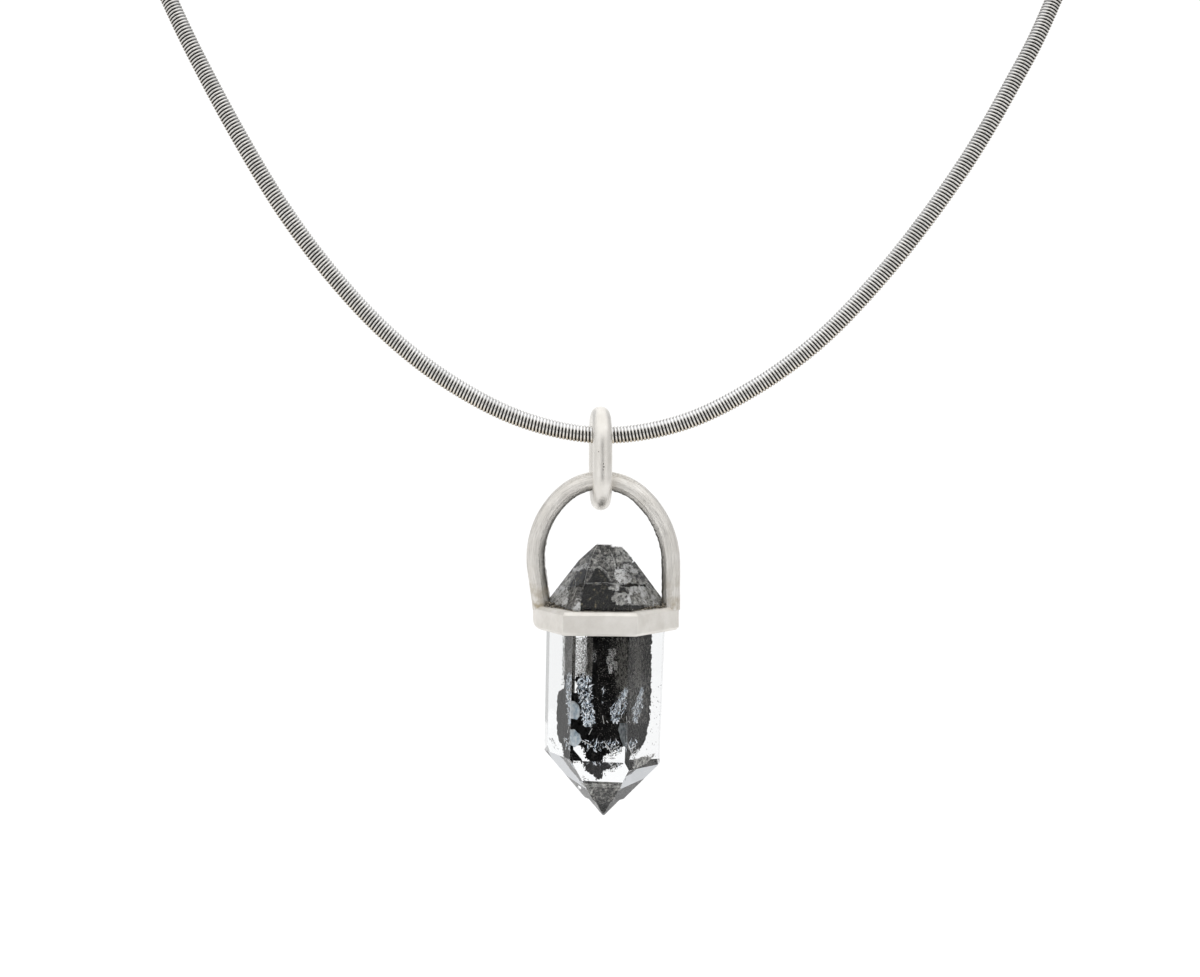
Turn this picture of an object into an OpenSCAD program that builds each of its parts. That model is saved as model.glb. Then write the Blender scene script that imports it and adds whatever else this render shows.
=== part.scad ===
// Necklace with a double-ended quartz crystal in a silver setting.
//
// The origin is at the nape, where the clasp lies, +Z is up and the crystal
// hangs in front of the neck, towards -Y. The pendant's own parts are drawn
// from the lowest point of the chain, on its axis, and then moved there.

/* [Chain] */
// Outside diameter of the wound chain
chain_d = 1.75; // [1.4:0.05:1.8]
// How far in front of the nape the pendant hangs
loop_depth = 100; // [90:1:110]
// How far below the nape the pendant hangs
loop_drop = 129; // [120:1:138]

/* [Clasp] */
// Length of the barrel clasp
clasp_len = 11; // [9:0.5:14]
// Diameter of the barrel clasp
clasp_d = 3.4; // [3:0.1:4.5]
// How deep each chain end sits in the clasp
clasp_socket = 2; // [1.5:0.25:3]

/* [Link] */
// Wire diameter of the oval link
link_wire = 1.95; // [1.7:0.05:2]
// Outside height of the oval link
link_h = 10.42; // [10.3:0.02:10.6]
// Outside depth of the oval link, front to back
link_depth = 7.2; // [6.8:0.1:8]
// Turn of the link about the vertical
link_turn = 4.5; // [0:0.5:6]

/* [Arch] */
// Wire diameter of the arch, before its inner side is filed
arch_wire = 2; // [1.8:0.05:2.1]
// Wire left between the outside and the filed inner face
arch_filed = 1.86; // [1.7:0.02:1.9]
// Radius of the arch's crown, to the middle of the wire
crown_r = 5.7; // [5.4:0.1:6]
// Half angle that the crown covers
crown_half = 42; // [38:1:46]
// Radius of the arch's left shoulder
left_r = 8.5; // [8.2:0.1:9]
// Radius of the arch's right shoulder
right_r = 9.2; // [9:0.1:9.8]
// Inward lean of the left leg
left_lean = 8; // [4:1:10]

/* [Collar] */
// Width of the hexagonal collar across its corners
collar_w = 14.84; // [14.4:0.02:15.2]
// Height of the collar
collar_h = 2.35; // [2:0.05:2.6]
// Bevel along the collar's top and bottom edges
collar_bevel = 0.3; // [0.1:0.05:0.4]
// Radius of the collar's worn lower left corner
worn_corner_r = 1; // [0.5:0.1:1.4]
// Width shaved off each upright corner of the collar
corner_shave = 0.16; // [0.1:0.02:0.3]
// Gap between the collar and the crystal
seat_gap = 0.08; // [0.05:0.01:0.15]

/* [Crystal] */
// Taper of the crystal's upright faces, towards its foot
crystal_taper = 0.5; // [0:0.1:1]
// Lean of the crystal in its collar, its foot to the left
crystal_lean = 1.7; // [0:0.1:2]
// Height of the flat on the crystal's upper end, above the collar's middle
crown_flat = 7.35; // [7.2:0.05:7.6]
// Height of the little step beside that flat
crown_step = 7.15; // [6.8:0.05:7.2]
// Depth of the ledge near the lower tip, below the collar's middle
ledge_depth = 18.35; // [18:0.05:19]
// Depth of the lower tip, below the collar's middle
tip_depth = 20.05; // [19.5:0.05:20.2]
// Turn of the collar, the arch and the crystal about the vertical
pendant_turn = -5; // [-8:1:0]

/* [Hidden] */

// Gap between the chain and the link above it
hang_gap = 0.06;
// Gap below the arch in the link, whose bend rises beside the filed face
arch_gap = 0.14;
// Gap round a chain end in its socket, and behind it
socket_gap = 0.12;

// The pendant hangs from this point of the chain
bail = [0, -loop_depth, -loop_drop];

// Heights below the chain's axis at that point
link_top = chain_d / 2 + hang_gap + link_wire;
link_foot = link_top - link_h;
link_mid_r = (link_depth - link_wire) / 2;
link_straight = link_h - link_depth;
link_wire_z = link_foot + link_wire / 2;
arch_under = link_foot + link_wire + arch_gap;
arch_top = arch_under + arch_filed;
arch_wire_z = arch_top - arch_wire / 2;
collar_top = -17.15;
collar_mid = collar_top - collar_h / 2;

// The link hangs a little to the left, and the collar to the right
link_x = -0.15;
pendant_x = 0.38;
// The feet of the arch stand on the collar's corners
foot_sink = 0.3;

// Facets round the turned parts, and round a wire
smooth = 96;
wire_smooth = 48;
// Size of the blocks that cut the flat faces, larger than the pendant
span = 60;

// Route of the chain from the lowest point, x to the right, y back and z up.
// The visible stretch has its points to a tenth, the rest to a whole number.
left_route = [
    [-7.8, 0.3, 1.5], [-15, 0.8, 5.1], [-21.4, 1.3, 10], [-27, 2, 15.9],
    [-31.9, 2.7, 22.4], [-36.2, 3.7, 29.4], [-40.1, 5.2, 36.4], [-43.6, 7, 43.3],
    [-50, 12, 57], [-54, 20, 71], [-57, 31, 84], [-58, 44, 96],
    [-55, 58, 107], [-49, 71, 115], [-40, 82, 121], [-29, 91, 125],
    [-16, 97, 128]
];
right_route = [
    [7.9, 0.3, 1.2], [15.2, 0.7, 4.7], [21.7, 1.2, 9.4], [27.4, 1.9, 15.2],
    [32.5, 2.6, 21.5], [37.2, 3.5, 28.2], [41.3, 4.9, 35.1], [45, 6.7, 42.1],
    [51, 12, 56], [55, 20, 70], [57, 31, 84], [58, 44, 96],
    [55, 58, 107], [49, 71, 115], [40, 82, 121], [29, 91, 125],
    [16, 97, 128]
];

// The route ends just outside the clasp. From there the chain runs straight
// into the clasp's sockets.
nape = [0, loop_depth, loop_drop];
mouth = [clasp_len / 2 + 0.5, 0, 0];
chain_end = [clasp_len / 2 - clasp_socket + socket_gap, 0, 0];
route = concat(
    [nape - mouth],
    [for (i = [len(left_route) - 1 : -1 : 0]) left_route[i]],
    [[0, 0, 0]],
    right_route,
    [nape + mouth]
);

// Cubic through the second and third of four points, at a part t of the way
function through(p, t) =
    0.5 * (2 * p[1] + (p[2] - p[0]) * t
    + (2 * p[0] - 5 * p[1] + 4 * p[2] - p[3]) * t * t
    + (3 * p[1] - p[0] - 3 * p[2] + p[3]) * t * t * t);

// Slope of that cubic
function heading(p, t) =
    0.5 * ((p[2] - p[0])
    + 2 * (2 * p[0] - 5 * p[1] + 4 * p[2] - p[3]) * t
    + 3 * (3 * p[1] - p[0] - 3 * p[2] + p[3]) * t * t);

// The route with one more point past each end, straight along the clasp
ahead = [12, 0, 0];
padded = concat([route[0] + ahead], route, [route[len(route) - 1] - ahead]);
function four(i) = [padded[i], padded[i + 1], padded[i + 2], padded[i + 3]];

// Two rings in each stretch of the route, and one at its end
rings_each = 2;
stretches = len(route) - 1;
ring_at = concat(
    [for (i = [0 : stretches - 1]) for (k = [0 : rings_each - 1]) [i, k / rings_each]],
    [[stretches - 1, 1]]
);

function unit(v) = v / norm(v);

// A direction that the chain nowhere runs in, which keeps its rings untwisted
off_route = [0, -0.6, 0.8];

// One ring of the chain's tube, square to its direction, with eight points
chain_sides = 8;
function chain_ring(centre, along) =
    let (side = unit(cross(along, off_route)), up = cross(side, along))
    [for (k = [0 : chain_sides - 1])
        let (a = (k + 0.5) * 360 / chain_sides)
        centre + chain_d / 2 * (cos(a) * side + sin(a) * up)];

module at_bail() translate(bail) children();

module at_pendant() at_bail() translate([pendant_x, 0, collar_mid]) rotate(pendant_turn) children();

// A closed tube through rings that all have the same number of points
module tube(rings) {
    n = len(rings[0]);
    last = len(rings) - 1;
    points = [for (ring = rings) for (p = ring) p];
    walls = [for (i = [0 : last - 1]) for (k = [0 : n - 1])
        [i * n + k, i * n + (k + 1) % n, (i + 1) * n + (k + 1) % n, (i + 1) * n + k]];
    near_end = [for (k = [n - 1 : -1 : 0]) k];
    far_end = [for (k = [0 : n - 1]) last * n + k];
    polyhedron(points, concat([near_end], walls, [far_end]), convexity = 10);
}

// The wound chain's outer form
module chain() {
    to_left = [-1, 0, 0];
    color("silver") at_bail() tube(concat(
        [chain_ring(nape - chain_end, to_left)],
        [for (place = ring_at)
            let (p = four(place[0]))
            chain_ring(through(p, place[1]), unit(heading(p, place[1])))],
        [chain_ring(nape + chain_end, to_left)]
    ));
}

// A plain barrel with a socket in each end for the chain
module clasp() {
    socket_r = chain_d / 2 + socket_gap;
    rim = 0.5;
    half = clasp_len / 2;
    color("silver") rotate([0, 90, 0]) rotate_extrude($fn = smooth) polygon([
        [0, -half + clasp_socket], [socket_r, -half + clasp_socket], [socket_r, -half],
        [clasp_d / 2 - rim, -half], [clasp_d / 2, -half + rim],
        [clasp_d / 2, half - rim], [clasp_d / 2 - rim, half],
        [socket_r, half], [socket_r, half - clasp_socket], [0, half - clasp_socket]
    ]);
}

// One rounded end of the oval link, in the plane of its wire
module link_bend() rotate_extrude(angle = 180, $fn = smooth)
    translate([link_mid_r, 0]) circle(d = link_wire, $fn = wire_smooth);

// Oval wire link, over the chain and through the arch
module link() {
    low = link_wire_z + link_mid_r;
    color("silver") at_bail() translate([link_x, 0, 0]) rotate(link_turn) rotate([90, 0, 90]) {
        translate([0, low + link_straight, 0]) link_bend();
        translate([0, low, 0]) rotate(180) link_bend();
        for (side = [-1, 1])
            translate([side * link_mid_r, low, 0]) rotate([-90, 0, 0])
                cylinder(d = link_wire, h = link_straight, $fn = wire_smooth);
    }
}

// Centre of a shoulder's arc, where it runs on smoothly from the crown's
function shoulder_centre(r, side) = [
    -side * (r - crown_r) * sin(crown_half),
    -crown_r - (r - crown_r) * cos(crown_half)
];

// Places along an arc of the arch: the middle of the wire, and its outward
// angle. The arc is cut in parts, and may leave out its ends.
function arc_places(centre, r, from, to, parts, skip = 0) =
    [for (k = [skip : parts - skip])
        let (a = from + (to - from) * k / parts)
        [centre + r * [cos(a), sin(a)], a]];

// The foot of a leg that runs on straight from the end of a shoulder's arc
function foot_place(centre, r, a, floor_z) =
    let (
        knee = centre + r * [cos(a), sin(a)],
        down = cos(a) < 0 ? [-sin(a), cos(a)] : [sin(a), -cos(a)]
    )
    [knee + down * (knee[1] - floor_z) / -down[1], a];

// Angles round the wire's section, from its outside. The wire is round up to
// the first angle and filed from there to the second, where its flat inner
// face begins.
round_end = 113.4;
face_end = 152;
wire_angles = concat([for (k = [-4 : 4]) k * round_end / 4], [face_end, -face_end]);

// Distance from the wire's middle to its surface, at one of these angles
function wire_out(a) =
    abs(a) > round_end ? (arch_filed - arch_wire / 2) / cos(180 - abs(a)) : arch_wire / 2;

// One ring of the arch's wire, with the arch's plane as X and Z
function arch_ring(place) =
    [for (a = wire_angles)
        let (out = wire_out(a) * cos(a))
        [place[0][0] + out * cos(place[1]), wire_out(a) * sin(a), place[0][1] + out * sin(place[1])]];

// The whole arch, with the top of its wire's middle at zero
module arch_wire_shape(floor_z) {
    right_c = shoulder_centre(right_r, 1);
    left_c = shoulder_centre(left_r, -1);
    left_end = 180 + left_lean;
    crown_ends = [90 + crown_half, 90 - crown_half];
    shoulder_parts = 9;
    crown_parts = 14;
    places = concat(
        [foot_place(left_c, left_r, left_end, floor_z)],
        arc_places(left_c, left_r, left_end, crown_ends[0], shoulder_parts),
        arc_places([0, -crown_r], crown_r, crown_ends[0], crown_ends[1], crown_parts, 1),
        arc_places(right_c, right_r, crown_ends[1], 0, shoulder_parts),
        [foot_place(right_c, right_r, 0, floor_z)]
    );
    tube([for (place = places) arch_ring(place)]);
}

// Front outline of the collar, with its worn lower left corner
module collar_outline() {
    half_w = collar_w / 2 - corner_shave / 2;
    half_h = collar_h / 2;
    margin = 1;
    difference() {
        translate([-half_w, -half_h]) square([2 * half_w, collar_h]);
        difference() {
            translate([-half_w - margin, -half_h - margin]) square(margin + worn_corner_r);
            translate([worn_corner_r - half_w, worn_corner_r - half_h])
                circle(r = worn_corner_r, $fn = wire_smooth);
        }
    }
}

// Hexagonal band with bevelled edges, before the crystal's seat is cut
module collar_band() {
    out = collar_w / 2 * cos(30);
    bevel_z = collar_h / 2 - collar_bevel;
    intersection() {
        rotate([90, 0, 0]) translate([0, 0, -span / 2]) linear_extrude(span) collar_outline();
        intersection_for (k = [0 : 5]) {
            direction = 60 * k - 90;
            intersection() {
                inside_face(direction, out, 0, 0, 0);
                inside_face(direction, out, bevel_z, -45, 0);
                inside_face(direction, out, -bevel_z, 45, 0);
            }
        }
    }
}

// Collar and arch, soldered into one piece, with the crystal's seat cut out
module setting() {
    color("lightgray") at_pendant() difference() {
        union() {
            collar_band();
            translate([-pendant_x, 0, arch_wire_z - collar_mid])
                arch_wire_shape(collar_top - foot_sink - arch_wire_z);
        }
        rotate([0, crystal_lean, 0]) crystal_form(seat_gap, 0, crown_flat, -collar_h);
    }
}

// The crystal's faces, in turn from the front one towards the right. Columns:
// name, distance of the upright face, height of its upper edge, slope of the
// end face above it, height of its lower edge, slope of the end face below it.
crystal_faces = [
    ["front", 5.25, 1.4, 51.8, -13.65, 51.8],
    ["front right", 5.05, 1.65, 55.4, -14.5, 51],
    ["back right", 5.3, 1.65, 55.4, -14.4, 51],
    ["back", 5.25, 1.3, 51.8, -13.9, 51.8],
    ["back left", 5.3, 1.4, 58, -13.55, 51.8],
    ["front left", 5.05, 1.4, 58, -13.55, 51.8]
];

// Small extra faces by the upper end. Columns: name, direction, distance out
// and height of a point on the face, slope.
crown_faces = [
    ["left", 180, 2.9, 5.65, 44],
    ["right", 0, 2.24, 6.33, 43]
];

// Everything on the inner side of a plane. The plane stands at a distance out
// in one direction, is tilted about a level line there, and moved out by a gap.
module inside_face(direction, out, height, tilt, gap)
    rotate(direction) translate([out, 0, height]) rotate([0, tilt, 0])
        translate([gap - span, -span / 2, -span / 2]) cube(span);

// The crystal's closed shape, with every face moved out by a gap, and its
// lower end faces raised
module crystal_form(gap, raise, top, foot)
    intersection() {
        translate([-span / 2, -span / 2, foot]) cube([span, span, top - foot]);
        intersection_for (k = [0 : 5]) {
            face = crystal_faces[k];
            direction = -90 + 60 * k;
            intersection() {
                inside_face(direction, face[1], 0, crystal_taper, gap);
                inside_face(direction, face[1], face[2], face[3] - 90, gap);
                inside_face(direction, face[1], face[4] + raise, 90 - face[5], gap);
            }
        }
        intersection_for (face = crown_faces)
            inside_face(face[1], face[2], face[3], face[4] - 90, gap);
    }

// Double-ended crystal with a flat and a step on top and a ledge by the tip
module crystal() {
    tip_raise = 0.3;
    step_x = 0.4;
    color("whitesmoke", 0.5) at_pendant() rotate([0, crystal_lean, 0]) {
        difference() {
            crystal_form(0, 0, crown_flat, -ledge_depth);
            translate([step_x, -span / 2, crown_step]) cube(span);
        }
        crystal_form(0, tip_raise, 0, -tip_depth);
    }
}

chain();
clasp();
link();
setting();
crystal();
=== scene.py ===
# %% [markdown]
# The necklace is a loop of fine wound chain with a silver clasp at the nape. An
# oval link hangs on the chain, and carries a silver setting with a double-ended
# quartz crystal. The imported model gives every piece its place, so it is loaded
# first, and all that follows is dressed around it.

# %% Load the frame
import math
import random

import bmesh
import bpy
from bmesh.types import BMEdge, BMVert
from mathutils import Euler, Matrix, Vector, geometry, kdtree, noise


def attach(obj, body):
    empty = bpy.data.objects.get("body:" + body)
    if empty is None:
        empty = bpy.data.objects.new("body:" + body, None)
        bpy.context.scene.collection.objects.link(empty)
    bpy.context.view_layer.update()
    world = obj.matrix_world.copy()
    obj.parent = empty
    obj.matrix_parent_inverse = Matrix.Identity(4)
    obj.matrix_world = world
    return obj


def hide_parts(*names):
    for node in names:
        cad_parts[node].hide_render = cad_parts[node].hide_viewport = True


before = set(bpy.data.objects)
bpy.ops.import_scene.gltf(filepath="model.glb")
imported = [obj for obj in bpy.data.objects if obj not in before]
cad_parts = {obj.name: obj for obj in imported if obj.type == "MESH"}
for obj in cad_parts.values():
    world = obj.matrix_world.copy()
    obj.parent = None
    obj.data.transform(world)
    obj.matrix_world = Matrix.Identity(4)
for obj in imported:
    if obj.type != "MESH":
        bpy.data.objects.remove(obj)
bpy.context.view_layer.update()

# %% [markdown]
# The chain's lowest point is where the pendant hangs, and everything in view is
# measured from it. A long lens from 30 cm away, tilted four degrees down, gives
# the calm, flat view that jewellery is shown in.

# %% Camera
MM = 0.001
BAIL = Vector((0, -100, -129)) * MM
VIEW_DISTANCE = 300 * MM
VIEW_DOWN = math.radians(4)
BELOW_BAIL = 5.33 * MM
LEFT_OF_BAIL = 0.2 * MM

scene = bpy.context.scene
camera = bpy.data.objects.new("camera", bpy.data.cameras.new("camera"))
camera.data.lens = 90
camera.data.sensor_width = 36
GAZE = Vector((0, math.cos(VIEW_DOWN), -math.sin(VIEW_DOWN)))
UP_IN_VIEW = Vector((0, math.sin(VIEW_DOWN), math.cos(VIEW_DOWN)))
looked_at = BAIL - UP_IN_VIEW * BELOW_BAIL - Vector((LEFT_OF_BAIL, 0, 0))
camera.location = looked_at - GAZE * VIEW_DISTANCE
camera.rotation_euler = (math.radians(90) - VIEW_DOWN, 0, 0)
scene.collection.objects.link(camera)
scene.camera = camera
print("camera at", [round(c, 4) for c in camera.location])

# %% [markdown]
# A material is a small tree of nodes. Adding and linking nodes takes the same
# few words each time, so one small class does it for all the materials.

# %% Node helper


class Nodes:
    """Adds nodes to a tree and links them."""

    def __init__(self, tree):
        self.tree = tree
        tree.nodes.clear()

    def put(self, socket, value):
        if isinstance(value, bpy.types.NodeSocket):
            self.tree.links.new(value, socket)
        elif isinstance(value, tuple) and len(value) == 3 and len(socket.default_value) == 4:
            socket.default_value = (*value, 1)
        else:
            socket.default_value = value

    def add(self, kind, inputs=None, **settings):
        node = self.tree.nodes.new(kind)
        for name, value in settings.items():
            setattr(node, name, value)
        for name, value in (inputs or {}).items():
            self.put(node.inputs[name], value)
        return node

    def ramp(self, fac, stops):
        """A colour ramp with stops of a position and a grey or a colour."""
        node = self.add("ShaderNodeValToRGB", {"Fac": fac})
        elements = node.color_ramp.elements
        while len(elements) < len(stops):
            elements.new(0.5)
        for element, (position, colour) in zip(elements, stops):
            element.position = position
            rgb = colour if isinstance(colour, tuple) else (colour,) * 3
            element.color = (*rgb, 1)
        return node.outputs["Color"]

    def mix(self, fac, a, b, blend="MIX"):
        node = self.add("ShaderNodeMix", data_type="RGBA", blend_type=blend)
        for index, value in ((0, fac), (6, a), (7, b)):
            self.put(node.inputs[index], value)
        return node.outputs[2]

    def multiply(self, a, b):
        return self.mix(1.0, a, b, "MULTIPLY")

    def math(self, operation, a, b=0.0):
        node = self.add("ShaderNodeMath", operation=operation)
        self.put(node.inputs[0], a)
        self.put(node.inputs[1], b)
        return node.outputs["Value"]

    def half(self, value):
        """Brings a value between -1 and 1 to between 0 and 1."""
        node = self.add("ShaderNodeMath", operation="MULTIPLY_ADD")
        for index, number in enumerate((value, 0.5, 0.5)):
            self.put(node.inputs[index], number)
        return node.outputs["Value"]

    def vector(self, operation, a, b):
        """Sums with vectors, which give a vector or a number."""
        node = self.add("ShaderNodeVectorMath", operation=operation)
        self.put(node.inputs[0], a)
        self.put(node.inputs[1], b)
        return node.outputs["Value" if operation in ("DOT_PRODUCT", "DISTANCE") else "Vector"]

    def place(self):
        """Where a point of the piece lies, in metres."""
        return self.add("ShaderNodeTexCoord").outputs["Object"]

    def attribute(self, name):
        """A number that the mesh keeps at each of its points."""
        return self.add("ShaderNodeAttribute", attribute_name=name).outputs["Fac"]

    def noise(self, vector, size_mm, detail=4.0, rough=0.6):
        """Noise with features of about this size."""
        scale = 1 / (size_mm * MM)
        wanted = {"Vector": vector, "Scale": scale, "Detail": detail, "Roughness": rough}
        return self.add("ShaderNodeTexNoise", wanted).outputs["Fac"]

    def mottle(self, vector, size_mm, stops, detail=4.0, rough=0.6):
        """A ramp read by noise."""
        return self.ramp(self.noise(vector, size_mm, detail, rough), stops)

    def bump(self, height, strength, distance_mm, normal=None):
        wanted = {"Height": height, "Strength": strength, "Distance": distance_mm * MM}
        node = self.add("ShaderNodeBump", wanted)
        if normal:
            self.put(node.inputs["Normal"], normal)
        return node.outputs["Normal"]


# %% [markdown]
# Polished silver and clear quartz show their surroundings more than their own
# colour. A white tent is the usual answer: light comes from all sides, stronger
# from above, and a little weaker at the sides. The one dark spot is the camera
# itself, and its reflection gives the quartz its depth. The two upper corners at
# the back are dimmer too, and they show through the crystal's lower faces. Behind
# the necklace the tent is plain white from wherever one looks.

# %% Light tent
scene.view_settings.view_transform = "Standard"
scene.cycles.use_denoising = True
scene.cycles.max_bounces = 24
scene.cycles.transmission_bounces = 20
scene.cycles.transparent_max_bounces = 24
scene.cycles.sample_clamp_indirect = 8

TO_CAMERA = (0, -0.99, -0.14)
TO_BACK_CORNER = (0.62, 0.655, 0.427)
PLAIN_WHITE = (1.05, 1.05, 1.05)

world = bpy.data.worlds.new("light_tent")
scene.world = world
world.use_nodes = True
tent = Nodes(world.node_tree)
direction = tent.add("ShaderNodeTexCoord").outputs["Generated"]
parts = tent.add("ShaderNodeSeparateXYZ", {"Vector": direction}).outputs
same_sides = tent.add("ShaderNodeCombineXYZ", {
    "X": tent.math("ABSOLUTE", parts["X"]), "Y": parts["Y"], "Z": parts["Z"],
}).outputs[0]
by_height = tent.ramp(tent.half(parts["Z"]), [
    (0, 0.9), (0.42, 1.04), (0.62, 1.05), (0.85, 1.3), (1, 1.22),
])
by_side = tent.ramp(tent.half(parts["X"]), [
    (0, 0.74), (0.05, 0.86), (0.12, 0.97), (0.2, 1.0), (0.82, 1.0), (0.91, 0.76), (1, 0.6),
])
camera_spot = tent.ramp(tent.vector("DOT_PRODUCT", direction, TO_CAMERA), [
    (0, 1.0), (0.5, 1.0), (0.84, 0.93), (0.925, 0.8), (0.958, 0.42), (0.974, 0.05), (1, 0.03),
])
corners = tent.ramp(tent.vector("DOT_PRODUCT", same_sides, TO_BACK_CORNER), [
    (0.93, 1.0), (0.975, (0.5, 0.51, 0.53)),
])
glow = by_height
for dimmer in (by_side, camera_spot, corners):
    glow = tent.multiply(glow, dimmer)
glow = tent.mix(tent.add("ShaderNodeLightPath").outputs["Is Camera Ray"], glow, PLAIN_WHITE)
background = tent.add("ShaderNodeBackground", {"Color": glow})
tent.add("ShaderNodeOutputWorld", {"Surface": background.outputs[0]})

# %% [markdown]
# The floor lies well below the crystal, pale and even, so it lights the
# pendant from underneath and stays out of the way.

# %% Floor
FLOOR_Z = -260 * MM
FLOOR_R = 600 * MM


def add_object(name, data):
    piece = bpy.data.objects.new(name, data)
    scene.collection.objects.link(piece)
    return piece


def add_shape(name, shape):
    """Turns a bmesh into an object."""
    mesh = bpy.data.meshes.new(name)
    shape.to_mesh(mesh)
    shape.free()
    return add_object(name, mesh)


def new_material(name):
    material = bpy.data.materials.new(name)
    material.use_nodes = True
    return material, Nodes(material.node_tree)


def surface(nodes, **inputs):
    """Closes a material with one Principled shader."""
    wanted = {
        name.replace("_", " ").title().replace("Ior", "IOR"): value
        for name, value in inputs.items()
    }
    shader = nodes.add("ShaderNodeBsdfPrincipled", wanted)
    nodes.add("ShaderNodeOutputMaterial", {"Surface": shader.outputs[0]})


def mottled(name, size_mm, stops, detail=4.0, rough=0.6, **inputs):
    """A material whose colour wanders through the stops of a ramp."""
    material, nodes = new_material(name)
    shade = nodes.mottle(nodes.place(), size_mm, stops, detail, rough)
    surface(nodes, base_color=shade, **inputs)
    return material


disc = bmesh.new()
bmesh.ops.create_circle(disc, cap_ends=True, segments=96, radius=FLOOR_R)
bmesh.ops.translate(disc, verts=disc.verts, vec=(0, 0, FLOOR_Z))
floor = add_shape("floor", disc)
floor.data.materials.append(mottled("pale_floor", 60, [(0.3, 0.93), (0.7, 0.96)], roughness=0.9))

# %% [markdown]
# Each piece is drawn in millimetres in a frame of its own, and then moved to its
# place: the link turns a little on the chain, the setting turns the other way,
# and the crystal leans in its collar. The place goes into the mesh, because the
# object itself stays at the origin.

# %% Places and pieces
COLLAR_TOP = -17.15
COLLAR_H = 2.35
COLLAR_MID = COLLAR_TOP - COLLAR_H / 2
LINK_X, LINK_TURN = -0.15, 4.5
PENDANT_X, PENDANT_TURN, CRYSTAL_LEAN = 0.38, -5, 1.7


def moved(*millimetres):
    return Matrix.Translation(millimetres)


def turned(degrees, axis):
    return Matrix.Rotation(math.radians(degrees), 4, axis)


AT_BAIL = Matrix.Translation(BAIL) @ Matrix.Scale(MM, 4)
AT_LINK = AT_BAIL @ moved(LINK_X, 0, 0) @ turned(LINK_TURN, "Z")
AT_VIEW = AT_BAIL @ moved(0, 0, COLLAR_MID)
AT_PENDANT = AT_VIEW @ moved(PENDANT_X, 0, 0) @ turned(PENDANT_TURN, "Z")
AT_CRYSTAL = AT_PENDANT @ turned(CRYSTAL_LEAN, "Y")


def toward(degrees):
    """The direction at an angle from X in the upright plane of X and Z."""
    a = math.radians(degrees)
    return Vector((math.cos(a), 0, math.sin(a)))


def face_outward(shape):
    bmesh.ops.recalc_face_normals(shape, faces=shape.faces)


def line_of(shape, points):
    """Points and the edges from one to the next, ready to be spun."""
    spots = [shape.verts.new(point) for point in points]
    return spots + [shape.edges.new(pair) for pair in zip(spots, spots[1:])]


def settle(piece):
    """Puts what the modifiers do into the mesh."""
    graph = bpy.context.evaluated_depsgraph_get()
    mesh = bpy.data.meshes.new_from_object(piece.evaluated_get(graph))
    piece.modifiers.clear()
    piece.data = mesh
    return piece


def shape_of(piece):
    """Takes a piece back to a bmesh, and removes the object."""
    shape = bmesh.new()
    shape.from_mesh(piece.data)
    bpy.data.objects.remove(piece)
    return shape


def finish_piece(name, shape, at, material, body, smooth=True):
    """Turns a bmesh into a piece in its place, which rides on a body."""
    bmesh.ops.transform(shape, matrix=at, verts=shape.verts)
    piece = add_shape(name, shape)
    mesh = piece.data
    mesh.polygons.foreach_set("use_smooth", [smooth] * len(mesh.polygons))
    mesh.materials.append(material)
    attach(piece, body)
    triangles = sum(len(p.vertices) - 2 for p in mesh.polygons)
    print(name, triangles, "triangles")
    return piece


# %% [markdown]
# The chain's route is the same smooth curve that the frame has: up from the
# pendant on both sides, round the neck, and into the clasp. Points that hang in
# view are listed, and the rest takes the plain way back.

# %% Route of the chain
UP_AND_BACK = [
    (57, 31, 84), (58, 44, 96), (55, 58, 107), (49, 71, 115), (40, 82, 121), (29, 91, 125),
    (16, 97, 128),
]
RIGHT_ROUTE = [
    (7.9, 0.3, 1.2), (15.2, 0.7, 4.7), (21.7, 1.2, 9.4), (27.4, 1.9, 15.2), (32.5, 2.6, 21.5),
    (37.2, 3.5, 28.2), (41.3, 4.9, 35.1), (45, 6.7, 42.1), (51, 12, 56), (55, 20, 70),
    *UP_AND_BACK,
]
LEFT_ROUTE = [
    (-7.8, 0.3, 1.5), (-15, 0.8, 5.1), (-21.4, 1.3, 10), (-27, 2, 15.9), (-31.9, 2.7, 22.4),
    (-36.2, 3.7, 29.4), (-40.1, 5.2, 36.4), (-43.6, 7, 43.3), (-50, 12, 57), (-54, 20, 71),
    *[(-x, y, z) for x, y, z in UP_AND_BACK],
]
NAPE = Vector((0, 100, 129))
MOUTH = Vector((6, 0, 0))
CHAIN_END = Vector((3.62, 0, 0))
AHEAD = Vector((12, 0, 0))
SPANS = 12


def through(p, t):
    """Cubic through the second and third of four points."""
    return 0.5 * (
        2 * p[1] + (p[2] - p[0]) * t
        + (2 * p[0] - 5 * p[1] + 4 * p[2] - p[3]) * t * t
        + (3 * p[1] - p[0] - 3 * p[2] + p[3]) * t ** 3
    )


def half_route(near, far, side):
    """Points from the pendant to the nape along one side of the loop."""
    end = NAPE + MOUTH * side
    known = [Vector(far[0]), Vector((0, 0, 0)), *map(Vector, near), end, end - AHEAD * side]
    points = [
        through(known[i:i + 4], k / SPANS)
        for i in range(len(known) - 3) for k in range(SPANS)
    ]
    return points + [end, NAPE + CHAIN_END * side]


def route_curve(name, points):
    data = bpy.data.curves.new(name, "CURVE")
    data.dimensions = "3D"
    spline = data.splines.new("POLY")
    spline.points.add(len(points) - 1)
    for spot, point in zip(spline.points, points):
        spot.co = (*(AT_BAIL @ point), 1)
    length = sum((b - a).length for a, b in zip(points, points[1:]))
    print(name, round(length, 1), "mm")
    return add_object(name, data), length
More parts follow.
